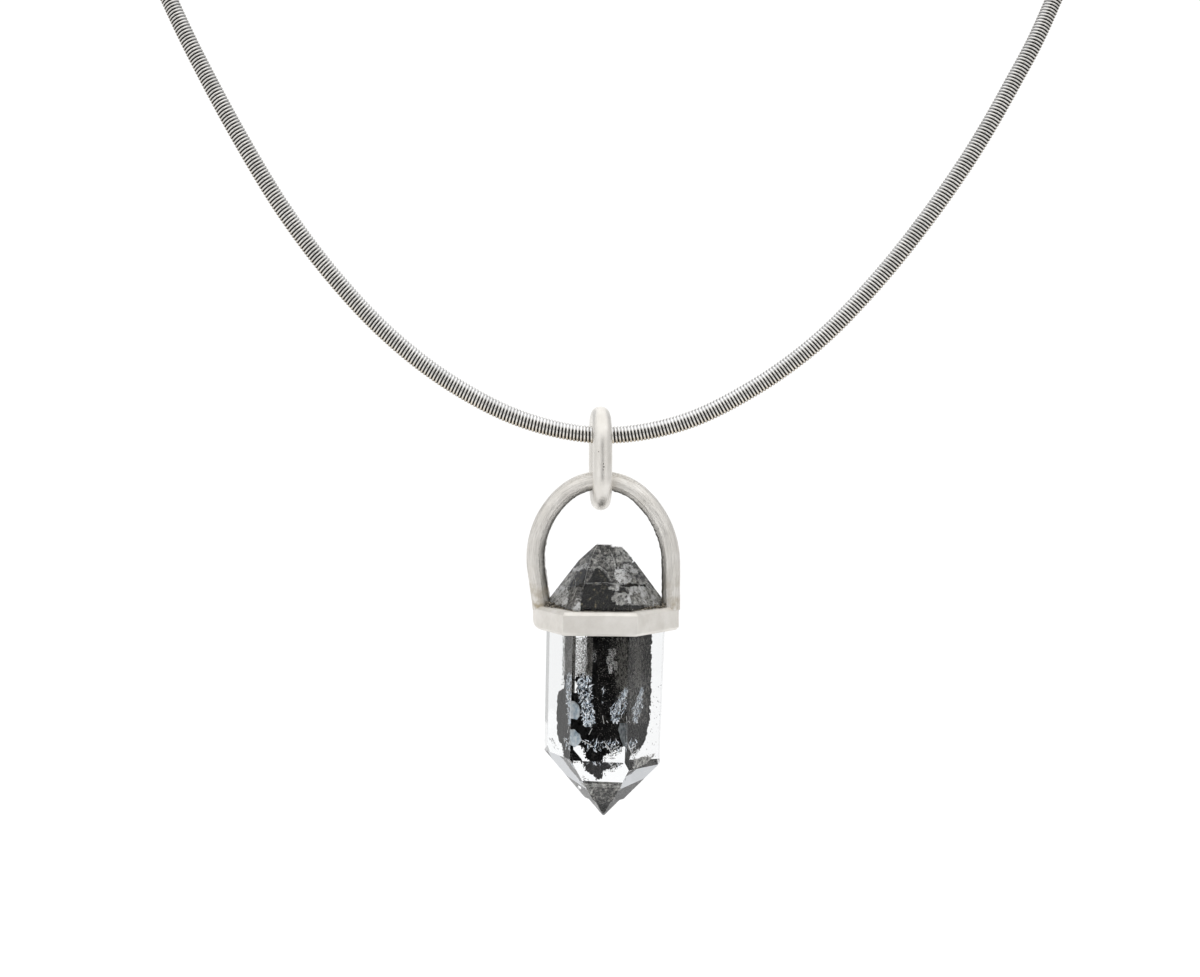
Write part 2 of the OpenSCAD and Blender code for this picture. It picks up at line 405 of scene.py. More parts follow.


# %% [markdown]
# A wound chain is one fine wire coiled so tightly that it looks like a screw
# thread. One turn is a rounded ridge spun round the axis while it moves on by
# its own width. An array repeats the turn and a curve modifier lays the coil
# along the route. The ridge's height is kept as an attribute, so that the
# material can be bright on the ridges and dark between them. A second one tells
# the upper side, where the grooves are painted pale as if lit from above, and
# the underside, which gets a painted warm reflection.

# %% Chain material
wound, nodes = new_material("wound_silver")
ridge = nodes.attribute("ridge")
upper = nodes.half(nodes.attribute("upper"))
place = nodes.place()
dark_grooves = nodes.ramp(ridge, [
    (0.0, 0.008), (0.55, 0.03), (0.7, (0.3, 0.29, 0.28)), (0.86, (0.76, 0.74, 0.7)),
    (1, (0.93, 0.91, 0.87)),
])
# painted light: on the upper side the grooves turn pale, as if lit from above
painted_lit_grooves = nodes.ramp(ridge, [(0.0, 0.4), (0.49, 0.7), (0.68, 0.95), (1, 0.98)])
patina_and_painted_light = nodes.mix(nodes.ramp(upper, [(0.68, 0.0), (0.81, 1.0)]), dark_grooves, painted_lit_grooves)
# painted reflection: the underside of the chain is tinted warm
under = nodes.ramp(upper, [(0.08, (0.96, 0.88, 0.76)), (0.4, (1, 1, 1))])
worn = nodes.mottle(place, 1.6, [(0.35, 0.82), (0.65, 1.0)])
colour = nodes.multiply(nodes.multiply(patina_and_painted_light, under), worn)
rough = nodes.mottle(place, 0.4, [(0.3, 0.16), (0.7, 0.27)])
surface(
    nodes, base_color=colour, metallic=1.0, roughness=rough, specular_tint=(0.5, 0.48, 0.45),
)

# %% Chain
CHAIN_R = 0.875
PITCH = 0.345
TURN_STEPS = 14
GROOVE = 0.16
RIDGE = [(0, GROOVE), (0.24, 0.045), (0.5, 0), (0.76, 0.045), (1, GROOVE)]
TUCK = 0.985


def one_turn():
    """One turn of the winding, along X from zero."""
    turn = bmesh.new()
    lift = turn.verts.layers.float.new("ridge")
    outline = line_of(turn, [(share * PITCH, CHAIN_R - drop, 0) for share, drop in RIDGE])
    for spot, (_, drop) in zip(outline, RIDGE):
        spot[lift] = 1 - drop / GROOVE
    bmesh.ops.spin(
        turn, geom=outline, cent=(0, 0, 0), axis=(1, 0, 0), angle=math.tau,
        steps=TURN_STEPS, dvec=(PITCH / TURN_STEPS, 0, 0), use_duplicate=False,
    )
    face_outward(turn)
    turn.faces.ensure_lookup_table()
    first = turn.faces[0]
    outward = first.calc_center_median() * Vector((0, 1, 1))
    if first.normal.dot(outward) < 0:
        bmesh.ops.reverse_faces(turn, faces=turn.faces)
    return turn


def mark_upper_side(shape, route):
    """Keeps how far up each point lies, from -1 under the chain to 1 on top."""
    upper = shape.verts.layers.float.new("upper")
    tree = kdtree.KDTree(len(route))
    for k, point in enumerate(route):
        tree.insert(point, k)
    tree.balance()
    for spot in shape.verts:
        _, k, _ = tree.find(spot.co)
        best = None
        for a, b in ((k - 1, k), (k, k + 1)):
            if 0 <= a and b < len(route):
                foot, _ = geometry.intersect_point_line(spot.co, route[a], route[b])
                if best is None or (spot.co - foot).length < best.length:
                    best = spot.co - foot
        spot[upper] = best.normalized().z


def coil(name, near, far, side):
    """Half of the chain, wound from the pendant to the nape."""
    points = half_route(near, far, side)
    curve, length = route_curve(name + "_route", points)
    turn = one_turn()
    start = -PITCH / 2 if side < 0 else 0
    bmesh.ops.translate(turn, verts=turn.verts, vec=(start - PITCH, 0, 0))
    bmesh.ops.scale(turn, verts=turn.verts, vec=(MM, MM, MM))
    piece = add_shape(name, turn)
    array = piece.modifiers.new("repeat", "ARRAY")
    array.count = math.floor((length - start) / PITCH)
    array.use_relative_offset = False
    array.use_constant_offset = True
    array.constant_offset_displace = (PITCH * MM, 0, 0)
    array.use_merge_vertices = True
    array.merge_threshold = 1e-6
    bend = piece.modifiers.new("bend", "CURVE")
    bend.object = curve
    bend.deform_axis = "POS_X"
    shape = shape_of(settle(piece))
    bpy.data.objects.remove(curve)
    if side < 0:
        # the two halves overlap by one turn, so this one goes under the other
        for spot in shape.verts:
            if spot.co.x > -0.1 * PITCH * MM and spot.co.z < BAIL.z + 2 * MM:
                axis = Vector((spot.co.x, BAIL.y, BAIL.z))
                spot.co = axis.lerp(spot.co, TUCK)
    mark_upper_side(shape, [AT_BAIL @ point for point in points])
    rims = [e for e in shape.edges if e.is_boundary]
    bmesh.ops.holes_fill(shape, edges=rims, sides=0)
    print(name, round(len(shape.verts) / (TURN_STEPS * (len(RIDGE) - 1))), "turns")
    return finish_piece(name, shape, Matrix.Identity(4), wound, "necklace")


chain_right = coil("chain_right", RIGHT_ROUTE, LEFT_ROUTE, 1)
chain_left = coil("chain_left", LEFT_ROUTE, RIGHT_ROUTE, -1)
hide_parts("chain")
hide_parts("chain")

# %% [markdown]
# The metal is silver with a satin finish. Fine scratches, faint cloudiness and
# a warm tarnish keep it from looking like plastic. The same recipe serves all
# the silver, with a few numbers for each piece.

# %% Silver
CLEAN = (0.83, 0.805, 0.765)
DULL = (0.70, 0.672, 0.625)


def silver(name, finish):
    """Satin silver. The finish adds what is special to one piece."""
    material, nodes = new_material(name)
    place = nodes.place()
    cloud = nodes.mottle(place, 2.2, [(0.35, 0.0), (0.7, 1.0)], 6)
    colour = nodes.mix(cloud, CLEAN, DULL)
    rough = nodes.mottle(place, 0.5, [(0.3, 0.34), (0.72, 0.46)], 6)
    grain = nodes.noise(place, 0.07, 5)
    dents = nodes.noise(place, 0.8, 3)
    colour, rough, extra = finish(nodes, place, colour, rough)
    normal = nodes.bump(dents, 0.25, 0.05)
    normal = nodes.bump(grain, 0.22, 0.012, normal)
    if extra:
        normal = nodes.bump(extra, 1.0, 0.08, normal)
    surface(nodes, base_color=colour, metallic=1.0, roughness=rough, normal=normal)
    return material


def plain(nodes, place, colour, rough):
    """Adds nothing."""
    return colour, rough, None


# %% Clasp
CLASP_LEN, CLASP_R = 11, 1.7
SOCKET, SOCKET_R = 2, 0.995
GROOVE_FLOOR = 1.63


def groove(x):
    """A fine turned line round the barrel."""
    drops = [(0.11, CLASP_R), (0.05, GROOVE_FLOOR), (-0.05, GROOVE_FLOOR), (-0.11, CLASP_R)]
    return [(x + aside, r) for aside, r in drops]


def clasp_profile():
    """Half of the barrel's outline, from the socket's bottom to the middle groove."""
    half = CLASP_LEN / 2
    mouth = [
        (half - SOCKET, 0), (half - SOCKET, SOCKET_R), (half - 0.05, SOCKET_R),
        (half, SOCKET_R + 0.06), (half, 1.28),
    ]
    nose = [(half - 0.1, 1.4), (half - 0.5, 1.62), (half - 0.7, 1.68), (half - 0.9, CLASP_R)]
    middle = [(0.1, CLASP_R), (0.04, 1.6), (0, 1.6)]
    return mouth + nose + groove(half - 1.61) + groove(0.51) + middle


barrel = bmesh.new()
outline = clasp_profile()
outline += [(-x, r) for x, r in reversed(outline[:-1])]
bmesh.ops.spin(
    barrel, geom=line_of(barrel, [(x, r, 0) for x, r in outline]), cent=(0, 0, 0),
    axis=(1, 0, 0), angle=math.tau, steps=72, use_merge=True,
)
bmesh.ops.remove_doubles(barrel, verts=barrel.verts, dist=1e-4)
face_outward(barrel)
clasp_silver = silver("clasp_silver", plain)
AT_NAPE = Matrix.Scale(MM, 4)
clasp = finish_piece("clasp_barrel", barrel, AT_NAPE, clasp_silver, "necklace")
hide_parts("clasp")

# %% [markdown]
# The oval link is a ring of round wire, stretched a little. A circle is spun
# half a turn, pushed along the straight side, spun again and pushed back.

# %% Link
LINK_WIRE = 1.95
LINK_H, LINK_DEPTH = 10.42, 7.2
LINK_TOP = CHAIN_R + 0.06 + LINK_WIRE
LINK_BEND = (LINK_DEPTH - LINK_WIRE) / 2
LINK_STRAIGHT = LINK_H - LINK_DEPTH
UP_CENTRE = LINK_TOP - LINK_DEPTH / 2


def only(kind, geom):
    """The points or the edges among what an operator gives back."""
    return [g for g in geom if isinstance(g, kind)]


def wire_circle(shape, radius, sides, centre):
    verts = bmesh.ops.create_circle(shape, segments=sides, radius=radius)["verts"]
    bmesh.ops.translate(shape, verts=verts, vec=centre)
    return verts + list(dict.fromkeys(e for v in verts for e in v.link_edges))


def go_round(shape, ring, centre, axis, angle, steps):
    made = bmesh.ops.spin(
        shape, geom=ring, cent=centre, axis=axis, angle=math.radians(angle), steps=steps,
        use_duplicate=False,
    )
    return made["geom_last"]


def go_along(shape, ring, vector, steps):
    for _ in range(steps):
        made = bmesh.ops.extrude_edge_only(shape, edges=only(BMEdge, ring))["geom"]
        verts = only(BMVert, made)
        bmesh.ops.translate(shape, verts=verts, vec=Vector(vector) / steps)
        ring = verts + [e for e in only(BMEdge, made) if all(v in verts for v in e.verts)]
    return ring


link_shape = bmesh.new()
ring = wire_circle(link_shape, LINK_WIRE / 2, 40, (0, LINK_BEND, UP_CENTRE))
for centre, along in ((UP_CENTRE, -LINK_STRAIGHT), (UP_CENTRE - LINK_STRAIGHT, LINK_STRAIGHT)):
    ring = go_round(link_shape, ring, (0, 0, centre), (1, 0, 0), 180, 40)
    ring = go_along(link_shape, ring, (0, 0, along), 8)
bmesh.ops.remove_doubles(link_shape, verts=link_shape.verts, dist=1e-3)
face_outward(link_shape)
for spot in link_shape.verts:
    spot.co += spot.normal * 0.02 * (noise.noise(spot.co * 0.9) - 0.25)

# place from the bail and radius of each pit
PITS = [
    (-0.47, -3.5, -1.45, 0.06), (0.02, -3.6, -2.65, 0.05), (0.05, -3.6, -2.95, 0.07),
    (0.0, -3.6, -3.25, 0.05),
]


def pitted(nodes, place, colour, rough):
    """Adds a few tiny pits at their places on the front of the link."""
    total = None
    for x, y, z, size in PITS:
        far = nodes.vector("DISTANCE", place, tuple(AT_LINK @ Vector((x, y, z))))
        near = nodes.math("LESS_THAN", far, size * MM)
        total = near if total is None else nodes.math("MAXIMUM", total, near)
    colour = nodes.mix(total, colour, (0.12, 0.11, 0.1))
    return colour, rough, nodes.math("SUBTRACT", 1.0, total)


link_silver = silver("link_silver", pitted)
link = finish_piece("link_ring", link_shape, AT_LINK, link_silver, "link")
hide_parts("link")

# %% [markdown]
# The arch is a round wire bent over in three arcs, whose inner side was filed
# flat with a rough edge. A section of the wire goes up the left leg, round the
# arcs and down the right leg, one small step at a time. Each ring keeps its
# angle round the wire as an attribute, so that the filing, and the shade
# painted on the inner side and along its crease, know where the inner side is.

# %% Arch
ARCH_R, FILED = 1.0, 0.86
CROWN_R, CROWN_HALF = 5.7, 42
CROWN_CENTRE = Vector((0, 0, -CROWN_R))
LEFT_R, RIGHT_R, LEFT_LEAN = 8.5, 9.2, 8
ARCH_UNDER = LINK_TOP - LINK_H + LINK_WIRE + 0.14
ARCH_Z = ARCH_UNDER + FILED
FOOT_Z = COLLAR_TOP - 0.3 - ARCH_Z
# angles round the wire where its round part and its filed face end
ROUND_END, FACE_END = 113.4, 152
ROUND_STEPS = 26
ARCH_STEP = 0.11


def shoulder_centre(radius, side):
    """Where the arc beside the crown has its centre, so that the two meet smoothly."""
    return CROWN_CENTRE + toward(-90 - side * CROWN_HALF) * (radius - CROWN_R)


def between(start, end, steps):
    """Evenly spaced points after the start, up to the end."""
    return [
        tuple(a + (b - a) * k / steps for a, b in zip(start, end)) for k in range(1, steps + 1)
    ]


def arch_section():
    """Points round the wire as an angle, and out and sideways distances."""
    points = []
    for k in range(ROUND_STEPS + 1):
        degrees = -ROUND_END + k * 2 * ROUND_END / ROUND_STEPS
        a = math.radians(degrees)
        points.append((degrees, ARCH_R * math.cos(a), ARCH_R * math.sin(a)))
    corner = (FACE_END, -FILED, FILED * math.tan(math.radians(180 - FACE_END)))
    far_corner = (360 - FACE_END, -FILED, -corner[2])
    first = (360 - ROUND_END, *points[0][1:])
    points += between(points[-1], corner, 4) + between(corner, far_corner, 5)
    return points + between(far_corner, first, 4)[:-1]


arch_shape = bmesh.new()
around = arch_shape.verts.layers.float.new("around")
along_path = arch_shape.verts.layers.float.new("along")
left_c, right_c = shoulder_centre(LEFT_R, -1), shoulder_centre(RIGHT_R, 1)
out_left, down = toward(180 + LEFT_LEAN), toward(270 + LEFT_LEAN)
knee = left_c + out_left * LEFT_R
leg = (knee.z - FOOT_Z) / -down.z
foot = knee + down * leg
section = []
for a, out, aside in arch_section():
    spot = arch_shape.verts.new(foot + out_left * out + Vector((0, aside, 0)))
    spot[around] = min(a % 360, 360 - a % 360)
    section.append(spot)
ring = section + [arch_shape.edges.new(pair) for pair in zip(section, section[1:] + section[:1])]
arch_shape.faces.new(section)


def walk(ring, length, move):
    """Moves the section on by small steps, and keeps how far it has come."""
    steps = max(1, round(length / ARCH_STEP))
    done = only(BMVert, ring)[0][along_path]
    for k in range(steps):
        ring = move(ring, steps)
        for spot in only(BMVert, ring):
            spot[along_path] = done + length * (k + 1) / steps
    return ring


def walk_straight(ring, length, way):
    return walk(ring, length, lambda r, n: go_along(arch_shape, r, way * length / n, 1))


def walk_arc(ring, centre, radius, angle):
    return walk(
        ring, radius * math.radians(angle),
        lambda r, n: go_round(arch_shape, r, centre, (0, 1, 0), angle / n, 1),
    )


ring = walk_straight(ring, leg, -down)
ring = walk_arc(ring, left_c, LEFT_R, 90 - CROWN_HALF + LEFT_LEAN)
ring = walk_arc(ring, CROWN_CENTRE, CROWN_R, 2 * CROWN_HALF)
ring = walk_arc(ring, right_c, RIGHT_R, 90 - CROWN_HALF)
ring = walk_straight(ring, right_c.z - FOOT_Z, Vector((0, 0, -1)))
arch_shape.faces.new(only(BMVert, ring))
face_outward(arch_shape)
arch_shape.normal_update()
for spot in arch_shape.verts:
    filing = max(0, 1 - abs(spot[around] - 150) / 30)
    chatter = noise.noise(Vector((spot[along_path] * 3.1, spot.co.y * 1.5, 3)))
    deep = noise.noise(Vector((spot[along_path] * 1.1, spot.co.y, 9)))
    filed_off = filing * (0.075 * chatter + 0.05 * deep - 0.02)
    spot.co += spot.normal * (filed_off + 0.012 * noise.noise(spot.co * 0.8))

# how far up the arch the stain at its feet reaches
STAIN_H = 3.4


def filed(nodes, place, colour, rough):
    """Paints shade on the filed inner side and a dark line along its crease, and stains the feet.
    """
    turn = nodes.math("DIVIDE", nodes.attribute("around"), 180.0)
    unrolled = nodes.add("ShaderNodeCombineXYZ", {
        "X": nodes.math("MULTIPLY", nodes.attribute("along"), 0.25),
        "Y": nodes.math("MULTIPLY", turn, 9.0),
    }).outputs[0]
    wanted = {"Vector": unrolled, "Scale": 2.2, "Detail": 6.0}
    lines = nodes.add("ShaderNodeTexNoise", wanted).outputs["Fac"]
    wander = nodes.math("SUBTRACT", nodes.noise(place, 0.28, 6), 0.5)
    inner = nodes.math("ADD", turn, nodes.math("MULTIPLY", wander, 0.1))
    # painted shade: dark on the filed inner side, with a thin painted dark line along its crease
    dark = nodes.ramp(inner, [
        (0.6, 0.0), (0.625, 0.55), (0.645, 0.1), (0.72, 0.2), (0.78, 0.7), (0.84, 1.0),
        (0.89, 0.6), (1, 0.45),
    ])
    colour = nodes.mix(dark, colour, (0.09, 0.085, 0.075))
    streak = nodes.ramp(lines, [(0.35, 0.82), (0.55, 1.0), (0.75, 0.9)])
    colour = nodes.multiply(colour, streak)
    height = nodes.add("ShaderNodeSeparateXYZ", {"Vector": place}).outputs["Z"]
    stain_top = BAIL.z + (COLLAR_TOP + STAIN_H) * MM
    under_top = nodes.math("SUBTRACT", stain_top, height)
    near_foot = nodes.math("MULTIPLY", under_top, 1 / (STAIN_H * MM))
    patches = nodes.mottle(place, 1.1, [(0.42, 0.0), (0.62, 1.0)], 6)
    low = nodes.ramp(near_foot, [(0.0, 0.0), (0.9, 0.75), (1, 1.0)])
    colour = nodes.mix(nodes.math("MULTIPLY", patches, low), colour, (0.43, 0.37, 0.27))
    return colour, rough, lines


AT_ARCH = AT_PENDANT @ moved(-PENDANT_X, 0, ARCH_Z - COLLAR_MID)
arch_silver = silver("arch_silver", filed)
arch = finish_piece("setting_arch", arch_shape, AT_ARCH, arch_silver, "pendant")

# %% [markdown]
# The crystal and its collar are both bounded by flat faces. Each face is one
# cut of a plane through a block, and the cut is closed again with a new face.
# A table gives each face by its distance and the slopes of its two end faces.

# %% Flat cuts
CRYSTAL_TAPER = 0.5
# distance from the axis, and height and slope of the upper and the lower end face
CRYSTAL_FACES = [
    (5.25, 1.4, 51.8, -13.65, 51.8),
    (5.05, 1.65, 55.4, -14.5, 51),
    (5.3, 1.65, 55.4, -14.4, 51),
    (5.25, 1.3, 51.8, -14.5, 51.8),
    (5.3, 1.4, 58, -13.55, 51.8),
    (5.05, 1.4, 58, -13.55, 51.8),
]
# direction, distance, height and slope of the small faces near the top
CROWN_FACES = [(180, 2.9, 5.65, 44), (0, 2.24, 6.33, 43)]
CROWN_FLAT, CROWN_STEP, STEP_X = 7.35, 7.15, 0.4
LEDGE, TIP, TIP_TOP, TIP_RAISE = -18.35, -20.05, -16.5, 0.3
BLOCK = 60


def face_plane(direction, out, height, slope_up, gap=0.0):
    """A point of a face and its outward direction, which slopes up by an angle."""
    spin = turned(direction, "Z").to_3x3()
    outward = spin @ toward(slope_up)
    return spin @ Vector((out, 0, height)) + outward * gap, outward


def level(height, up):
    """A level face at a height, which looks up or down."""
    return Vector((0, 0, height)), Vector((0, 0, up))


def crystal_planes(gap=0.0, raised=0.0, top=CROWN_FLAT, low=LEDGE):
    """All faces of the crystal, as points and outward directions."""
    planes = [level(top, 1), level(low, -1)]
    for k, (out, top_z, top_slope, foot_z, foot_slope) in enumerate(CRYSTAL_FACES):
        direction = 60 * k - 90
        planes.append(face_plane(direction, out, 0, -CRYSTAL_TAPER, gap))
        planes.append(face_plane(direction, out, top_z, 90 - top_slope, gap))
        planes.append(face_plane(direction, out, foot_z + raised, foot_slope - 90, gap))
    for direction, out, height, slope in CROWN_FACES:
        planes.append(face_plane(direction, out, height, 90 - slope, gap))
    return planes


def block():
    shape = bmesh.new()
    bmesh.ops.create_cube(shape, size=BLOCK)
    return shape


def cut(shape, point, outward):
    """Keeps what lies behind a plane, and closes the cut."""
    everything = shape.verts[:] + shape.edges[:] + shape.faces[:]
    made = bmesh.ops.bisect_plane(
        shape, geom=everything, dist=1e-5, plane_co=point, plane_no=outward, clear_outer=True,
    )
    rim = only(BMEdge, made["geom_cut"])
    if len(rim) > 2:
        bmesh.ops.edgeloop_fill(shape, edges=rim)


def cut_block(planes):
    shape = block()
    for point, outward in planes:
        cut(shape, point, outward)
    return shape


def combine(piece, tool, operation):
    """Joins or cuts a piece with a tool, and removes the tool."""
    step = piece.modifiers.new("combine", "BOOLEAN")
    step.operation = operation
    step.object = tool
    step.solver = "EXACT"
    settle(piece)
    bpy.data.objects.remove(tool)


def soften(piece, width, segments, angle=12):
    """Takes a piece back to a bmesh, and rounds the edges that turn by more than an angle."""
    shape = shape_of(piece)
    bmesh.ops.remove_doubles(shape, verts=shape.verts, dist=1e-3)
    turn = math.radians(angle)
    sharp = [e for e in shape.edges if len(e.link_faces) == 2 and e.calc_face_angle() > turn]
    bmesh.ops.bevel(
        shape, geom=sharp, offset=width, affect="EDGES", segments=segments, profile=0.5,
        material=-1, clamp_overlap=True,
    )
    face_outward(shape)
    return shape


# %% [markdown]
# The collar is a six-sided band with bevelled edges and a worn lower corner.
# The crystal's own form, made slightly larger, cuts its seat, and then all its
# edges are rounded as if by years of wear.

# %% Collar
COLLAR_W, COLLAR_BEVEL = 14.84, 0.3
WORN_R, RIGHT_CORNER, SHAVE = 1.0, 0.14, 0.16
SEAT_GAP = 0.08


def collar_planes():
    out = COLLAR_W / 2 * math.cos(math.radians(30))
    half_w, half_h = COLLAR_W / 2 - SHAVE / 2, COLLAR_H / 2
    planes = [face_plane(60 * k - 90, out, 0, 0) for k in range(6)]
    for up in (1, -1):
        planes.append(level(up * half_h, up))
        bevel_z = up * (half_h - COLLAR_BEVEL)
        planes += [face_plane(60 * k - 90, out, bevel_z, up * 45) for k in range(6)]
    planes += [(Vector((side * half_w, 0, 0)), Vector((side, 0, 0))) for side in (1, -1)]
    corner = Vector((WORN_R - half_w, 0, WORN_R - half_h))
    for outward in map(toward, (192, 207, 225, 243, 258)):
        planes.append((corner + outward * WORN_R, outward))
    right_corner = Vector((half_w - RIGHT_CORNER, 0, RIGHT_CORNER - half_h))
    planes.append((right_corner, Vector((1, 0, -1)).normalized()))
    return planes


def seated(nodes, place, colour, rough):
    """Spots the hidden inner wall with tarnish that is never rubbed off."""
    from_middle = nodes.vector("SUBTRACT", place, tuple(AT_PENDANT.translation))
    from_axis = nodes.vector("MULTIPLY", from_middle, (1, 1, 0))
    normal = nodes.add("ShaderNodeNewGeometry").outputs["Normal"]
    inward = nodes.math("LESS_THAN", nodes.vector("DOT_PRODUCT", from_axis, normal), -1.5 * MM)
    spots = nodes.mottle(place, 1.2, [
        (0.44, (0.05, 0.047, 0.042)), (0.52, (0.3, 0.29, 0.27)), (0.6, (0.72, 0.7, 0.67)),
    ], 6)
    return nodes.mix(inward, colour, spots), nodes.math("MULTIPLY", rough, 1.3), None


collar = add_shape("collar", cut_block(collar_planes()))
seat = cut_block(crystal_planes(SEAT_GAP))
bmesh.ops.rotate(seat, verts=seat.verts, matrix=turned(CRYSTAL_LEAN, "Y").to_3x3())
combine(collar, add_shape("seat", seat), "DIFFERENCE")
collar_silver = silver("collar_silver", seated)
collar_shape = soften(collar, 0.1, 4)
collar = finish_piece(
    "setting_collar", collar_shape, AT_PENDANT, collar_silver, "pendant",
)
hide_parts("setting")
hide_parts("setting")
collar.modifiers.new("weighted", "WEIGHTED_NORMAL").keep_sharp = False

# %% [markdown]
# The quartz is a real refracting solid, so the bright bands, the dark tip and
# the grey side faces come from the way light travels in it, from any side.
# Both ends come to a point, and the lower one has a small ledge.

# %% Quartz
QUARTZ_IOR = 1.544
quartz, nodes = new_material("clear_quartz")
place = nodes.place()
normal = nodes.bump(nodes.noise(place, 2.5, 3), 0.12, 0.03)
normal = nodes.bump(nodes.noise(place, 0.25, 6), 0.05, 0.006, normal)
surface(
    nodes, base_color=(0.93, 0.94, 0.945), roughness=0.02, ior=QUARTZ_IOR,
    transmission_weight=1.0, specular_tint=(0.4, 0.4, 0.4), normal=normal,
)

main = add_shape("crystal_main", cut_block(crystal_planes()))
step_cutter = block()
corner = (STEP_X + BLOCK / 2, 0, CROWN_STEP + BLOCK / 2)
bmesh.ops.translate(step_cutter, verts=step_cutter.verts, vec=corner)
combine(main, add_shape("step", step_cutter), "DIFFERENCE")
tip = cut_block(crystal_planes(0, TIP_RAISE, TIP_TOP, TIP))
combine(main, add_shape("tip", tip), "UNION")
crystal = finish_piece(
    "crystal_quartz", soften(main, 0.035, 2, 3), AT_CRYSTAL, quartz, "pendant",
    smooth=False,
)
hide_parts("crystal")

# %% [markdown]
# What lies in the crystal is placed by where it is seen. A line of sight meets
# the nearest face, bends by Snell's law, and goes on for a given depth. The same
# planes tell how much room a point has, so the sheets and grains keep clear of
# the quartz's faces.

# %% Inside the crystal
TO_VIEW = AT_VIEW.inverted() @ AT_CRYSTAL
TURN_TO_VIEW = TO_VIEW.to_3x3().normalized()
FACES = [(TO_VIEW @ point, TURN_TO_VIEW @ outward) for point, outward in crystal_planes()]
FACING = [face for face in FACES if face[1].dot(GAZE) < 0]


def room(spot):
    """How far a point lies under the nearest face."""
    return min((point - spot).dot(outward) for point, outward in FACES)


def window(x, height):
    """The face through which a place is seen."""
    start = Vector((x, 0, height))
    return max(FACING, key=lambda face: (face[0] - start).dot(face[1]) / face[1].dot(GAZE))


def seen_at(x, height, depth, face=None):
    """The point that is seen at a place, when the sight has gone so deep."""
    point, outward = face or window(x, height)
    start = Vector((x, 0, height))
    reach = (point - start).dot(outward) / outward.dot(GAZE)
    slow = 1 / QUARTZ_IOR
    head_on = -outward.dot(GAZE)
    straight = math.sqrt(1 - slow * slow * (1 - head_on * head_on))
    bent = GAZE * slow + outward * (slow * head_on - straight)
    return start + GAZE * reach + bent * depth


def finish_inside(name, shape, material, smooth=False):
    """Finishes a piece that lies in the crystal."""
    finish_piece(name, shape, AT_VIEW, material, "pendant", smooth)


def follow(table, t):
    """Reads a value between the rows of a table with a falling first column."""
    if t >= table[0][0]:
        return table[0][1:]
    for (a, *low), (b, *high) in zip(table, table[1:]):
        if t >= b:
            share = (a - t) / (a - b)
            return [x + (y - x) * share for x, y in zip(low, high)]
    return table[-1][1:]


# %% [markdown]
# Black carbon hangs in the crystal as a ragged curtain, nearer on the left than
# on the right. A grid is cut to its outline with noise, so that the edge breaks
# up into crumbs, and then the sheet gets a little thickness and some relief.

# %% Carbon
carbon, nodes = new_material("carbon")
wanted = {"Vector": nodes.place(), "Scale": (1.0, 1.0, 0.4)}
stretched = nodes.add("ShaderNodeMapping", wanted).outputs[0]
mottle = nodes.noise(stretched, 0.5, 8, 0.75)
shade = nodes.ramp(mottle, [
    (0.4, 0.002), (0.55, 0.008), (0.66, (0.045, 0.042, 0.038)), (0.78, (0.2, 0.19, 0.175)),
])
relief = nodes.bump(mottle, 0.5, 0.06)
surface(nodes, base_color=shade, roughness=0.5, specular_ior_level=0.1, normal=relief)

# height, left edge and right edge, as they are seen
CURTAIN = [
    (2.5, -1.7, 0.9), (1.6, -2.2, 1.2), (0.0, -2.2, 1.8), (-1.4, -1.6, 3.1), (-1.9, -1.3, 3.35),
    (-6.8, -1.3, 3.4), (-7.2, -1.5, 3.4), (-7.5, -2.7, 3.4), (-7.9, -3.05, 3.4),
    (-9.9, -3.2, 3.3), (-11.2, -3.15, 3.05), (-12.0, -3.0, 2.75), (-12.5, -2.6, 2.5),
    (-12.9, -1.9, 2.2), (-13.3, -1.75, 1.6), (-13.7, -1.5, 0.7), (-14.2, -1.2, 0.4),
    (-15.0, -0.3, 0.25),
]
BACKING = [
    (-5.5, -2.2, -1.1), (-6.0, -2.45, -0.9), (-8.6, -2.4, -0.7), (-9.4, -2.1, -0.5),
    (-10.7, -1.7, -0.4),
]
FRAYED_BELOW = -12.5
CARBON_CELL, CARBON_ROOM, CARBON_THICK = 0.075, 0.25, 0.04
# how far a grid reaches past its outline, and how far its points stray in a cell
SPARE_TOP, SPARE_LOW, SPARE_SIDE = 0.4, 0.6, 0.5
STRAY = 0.35


